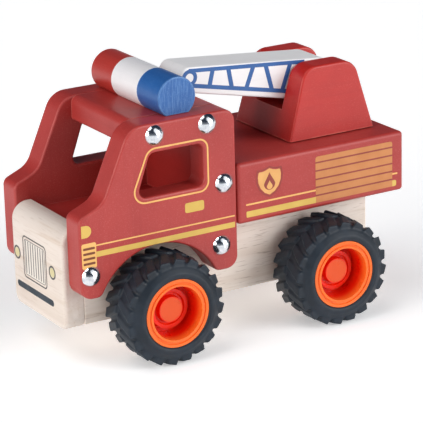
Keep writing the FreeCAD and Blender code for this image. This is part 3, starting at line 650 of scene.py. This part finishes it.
RAIL_TOP = [(11.6, 126.4), (-53.0, 120.9)]
RAIL_LOW = [(9.6, 118.9), (-43.0, 107.7)]
RAIL_TOP_WIDE, RAIL_LOW_WIDE, RUNG_WIDE = 1.9, 2.0, 2.3
RUNGS = [(-1.5, 0.6), (-10.0, -11.8), (-24.1, -19.7), (-30.9, -34.3), (-45.0, -40.0)]
TIP_X, TIP_Z, TIP_OUTER, TIP_INNER = 11.3, 122.9, 4.1, 2.2


def ladder_prints(side, blue):
    put = printer(f"ladder_{side}_", side, "ladder", "ladder_beam")
    put("rail_top", [strip(*RAIL_TOP, RAIL_TOP_WIDE)], blue)
    put("rail_low", [strip(*RAIL_LOW, RAIL_LOW_WIDE)], blue)

    def on(rail, x):
        (x0, z0), (x1, z1) = rail
        return (x, z0 + (z1 - z0) * (x - x0) / (x1 - x0))

    for k, (top, low) in enumerate(RUNGS):
        rung = strip(on(RAIL_TOP, top), on(RAIL_LOW, low), RUNG_WIDE)
        put(f"rung_{k + 1}", [rung], blue, lift=0.035)
    ring = [disc(TIP_X, TIP_Z, r) for r in (TIP_OUTER, TIP_INNER)]
    put("tip_ring", ring, blue, lift=0.04)


def print_all():
    rough = {"blue": BLUE_INK_ROUGH}
    inks = {name: printed(name + "_print", tones, rough.get(name, INK_ROUGH))
            for name, tones in INKS.items()}
    for side in SIDES:
        cab_prints(side, inks)
        bed_prints(side, inks)
        badge_prints(side, inks)
        ladder_prints(side, inks["blue"])
    nose_prints(inks)


# ------------------------------------------------------------------ dressing the CAD nodes

def dress(material, *nodes):
    """Give CAD nodes a material, through their objects' material slots."""
    for node in nodes:
        obj = NODES[node]
        if not obj.data.materials:
            obj.data.materials.append(material)
        for slot in obj.material_slots:
            slot.link = "OBJECT"
            slot.material = material


def dress_all():
    dress(painted("red_paint_x", RED, "X"), "bed_block")
    dress(painted("red_paint_y", RED, "Y"), "cab_roof")
    dress(painted("red_paint_z", RED, "Z"), "cab_side_left", "cab_side_right")
    # Painted shade: the floor and rear wall inside the cab get the darker red.
    dress(painted("red_paint_shaded_inside", RED_SHADED_INSIDE, "Y"), "cab_floor", "cab_rear_wall")
    dress(painted("turret_paint", RED_TURRET, "X", gloss=0.40), "turret")
    dress(painted("ladder_white", WHITE_LADDER, "X", edge_wear_and_highlight=0.4), "ladder")
    dress(painted("bar_blue", BLUE_BAR, "Y", 0.38, 0.95, sawn=True), "light_bar_left")
    dress(painted("bar_white", WHITE_BAR, "Y", 0.4, 0.9, sawn=True), "light_bar_middle")
    dress(painted("bar_red", RED_BAR, "Y", 0.38, 0.7, sawn=True), "light_bar_right")
    dress(bare_wood("beam_wood", "X", 0.0, 0.65, WOOD_BEAM), "chassis_beam")
    dress(bare_wood("nose_wood", "Y", 3.1, 0.22, WOOD_NOSE), "nose_board")
    dress(bare_wood("pin_wood", "Y", 5.2), "ladder_pin")
    dress(bare_wood("peg_wood", "Z", 1.7), "bed_peg_1", "bed_peg_2", "bar_peg_left",
          "bar_peg_middle", "bar_peg_right", "turret_post")
    dress(fibre(), "turret_washer")
    dress(chrome(), *(f"nail_{side}_{k}" for side in SIDES for k in range(1, 6)))
    dress(steel(), *(end + "_axle" for end in ENDS))
    dress(rubber(), *(f"tyre_{end}_{side}" for end in ENDS for side in SIDES))
    for end in ENDS:
        (low, high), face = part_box(f"hub_{end}_left"), box_high(f"hub_{end}_left", Y)
        centre = ((low[X] + high[X]) / 2, (low[Z] + high[Z]) / 2)
        plastic = hub_plastic("hub_plastic_" + end, face, *centre)
        dress(plastic, *(f"hub_{end}_{side}" for side in SIDES))


TYRE_VOXEL = 0.42 * MM
TYRE_SMOOTHING, TYRE_PASSES = 0.5, 9


def soften_tyres():
    """The moulded tyres have rounded lugs: the CAD shape is remeshed finely and smoothed."""
    for end in ENDS:
        for side in SIDES:
            obj = NODES[f"tyre_{end}_{side}"]
            remesh = obj.modifiers.new("voxels", "REMESH")
            remesh.mode = "VOXEL"
            remesh.voxel_size = TYRE_VOXEL
            remesh.use_smooth_shade = True
            smooth = obj.modifiers.new("soften", "SMOOTH")
            smooth.factor = TYRE_SMOOTHING
            smooth.iterations = TYRE_PASSES


# ------------------------------------------------------------------ studio

FLOOR_HALF = 12.0
FLOOR_PALE, FLOOR_DEEP = (0.93, 0.93, 0.93, 1), (0.91, 0.91, 0.91, 1)
FLOOR_GLOW = 0.35
HORIZON, HORIZON_AT = (0.50, 0.54, 0.60, 1), 0.02
ZENITH, ZENITH_AT = (0.03, 0.05, 0.09, 1), 0.42
WORLD_STRENGTH = 0.5
SUN_SPREAD = 40  # degrees across
WARM, WHITE = (1, 0.945, 0.90), (1, 1, 1)
SUNS = [  # name, azimuth from +X towards +Y, elevation, energy, colour
    ("front", 10, 15, 1.98, WARM),
    ("side", 128, 15, 2.1, WHITE),
    ("side_high", 115, 40, 0.42, WHITE),
    ("top", 0, 65, 0.98, WHITE),
]


def make_floor():
    s = Shade("floor_white", 0.6)
    base = s.mix(s.ramp(s.noise(3, detail=2), *SOFT, 0, 0.5), FLOOR_PALE, FLOOR_DEEP)
    s.set(Emission_Color=(1, 1, 1, 1), Emission_Strength=FLOOR_GLOW, Specular_IOR_Level=0.1)
    mesh = bpy.data.meshes.new("floor")
    corners = box2(-FLOOR_HALF, -FLOOR_HALF, FLOOR_HALF, FLOOR_HALF)
    mesh.from_pydata([(x, y, 0) for x, y in corners], [], [(0, 1, 2, 3)])
    mesh.materials.append(s.finish(base))
    floor = add_object("floor", mesh)


def make_world():
    """A dim sky, paler at the horizon."""
    world = bpy.data.worlds.new("studio")
    bpy.context.scene.world = world
    world.use_nodes = True
    tree = world.node_tree
    back = tree.nodes["Background"]
    coord = tree.nodes.new("ShaderNodeTexCoord")
    split = tree.nodes.new("ShaderNodeSeparateXYZ")
    ramp = tree.nodes.new("ShaderNodeValToRGB")
    tree.links.new(coord.outputs["Generated"], split.inputs[0])
    tree.links.new(split.outputs["Z"], ramp.inputs["Fac"])
    low, high = ramp.color_ramp.elements
    low.position, low.color = HORIZON_AT, HORIZON
    high.position, high.color = ZENITH_AT, ZENITH
    tree.links.new(ramp.outputs["Color"], back.inputs["Color"])
    back.inputs["Strength"].default_value = WORLD_STRENGTH


def sun(name, azimuth, elevation, energy, colour):
    """Soft light from a direction given in degrees."""
    a, e = math.radians(azimuth), math.radians(elevation)
    towards = Vector((math.cos(a) * math.cos(e), math.sin(a) * math.cos(e), math.sin(e)))
    data = bpy.data.lights.new(name, "SUN")
    data.energy = energy
    data.angle = math.radians(SUN_SPREAD)
    data.color = colour
    lamp = add_object(name, data)
    lamp.rotation_euler = towards.to_track_quat("Z", "Y").to_euler()


def make_studio():
    make_floor()
    make_world()
    for light in SUNS:
        sun(*light)
    bpy.context.scene.view_settings.view_transform = "Standard"


# ------------------------------------------------------------------ build

make_camera()
dress_all()
soften_tyres()
print_all()
make_studio()

bpy.context.view_layer.update()
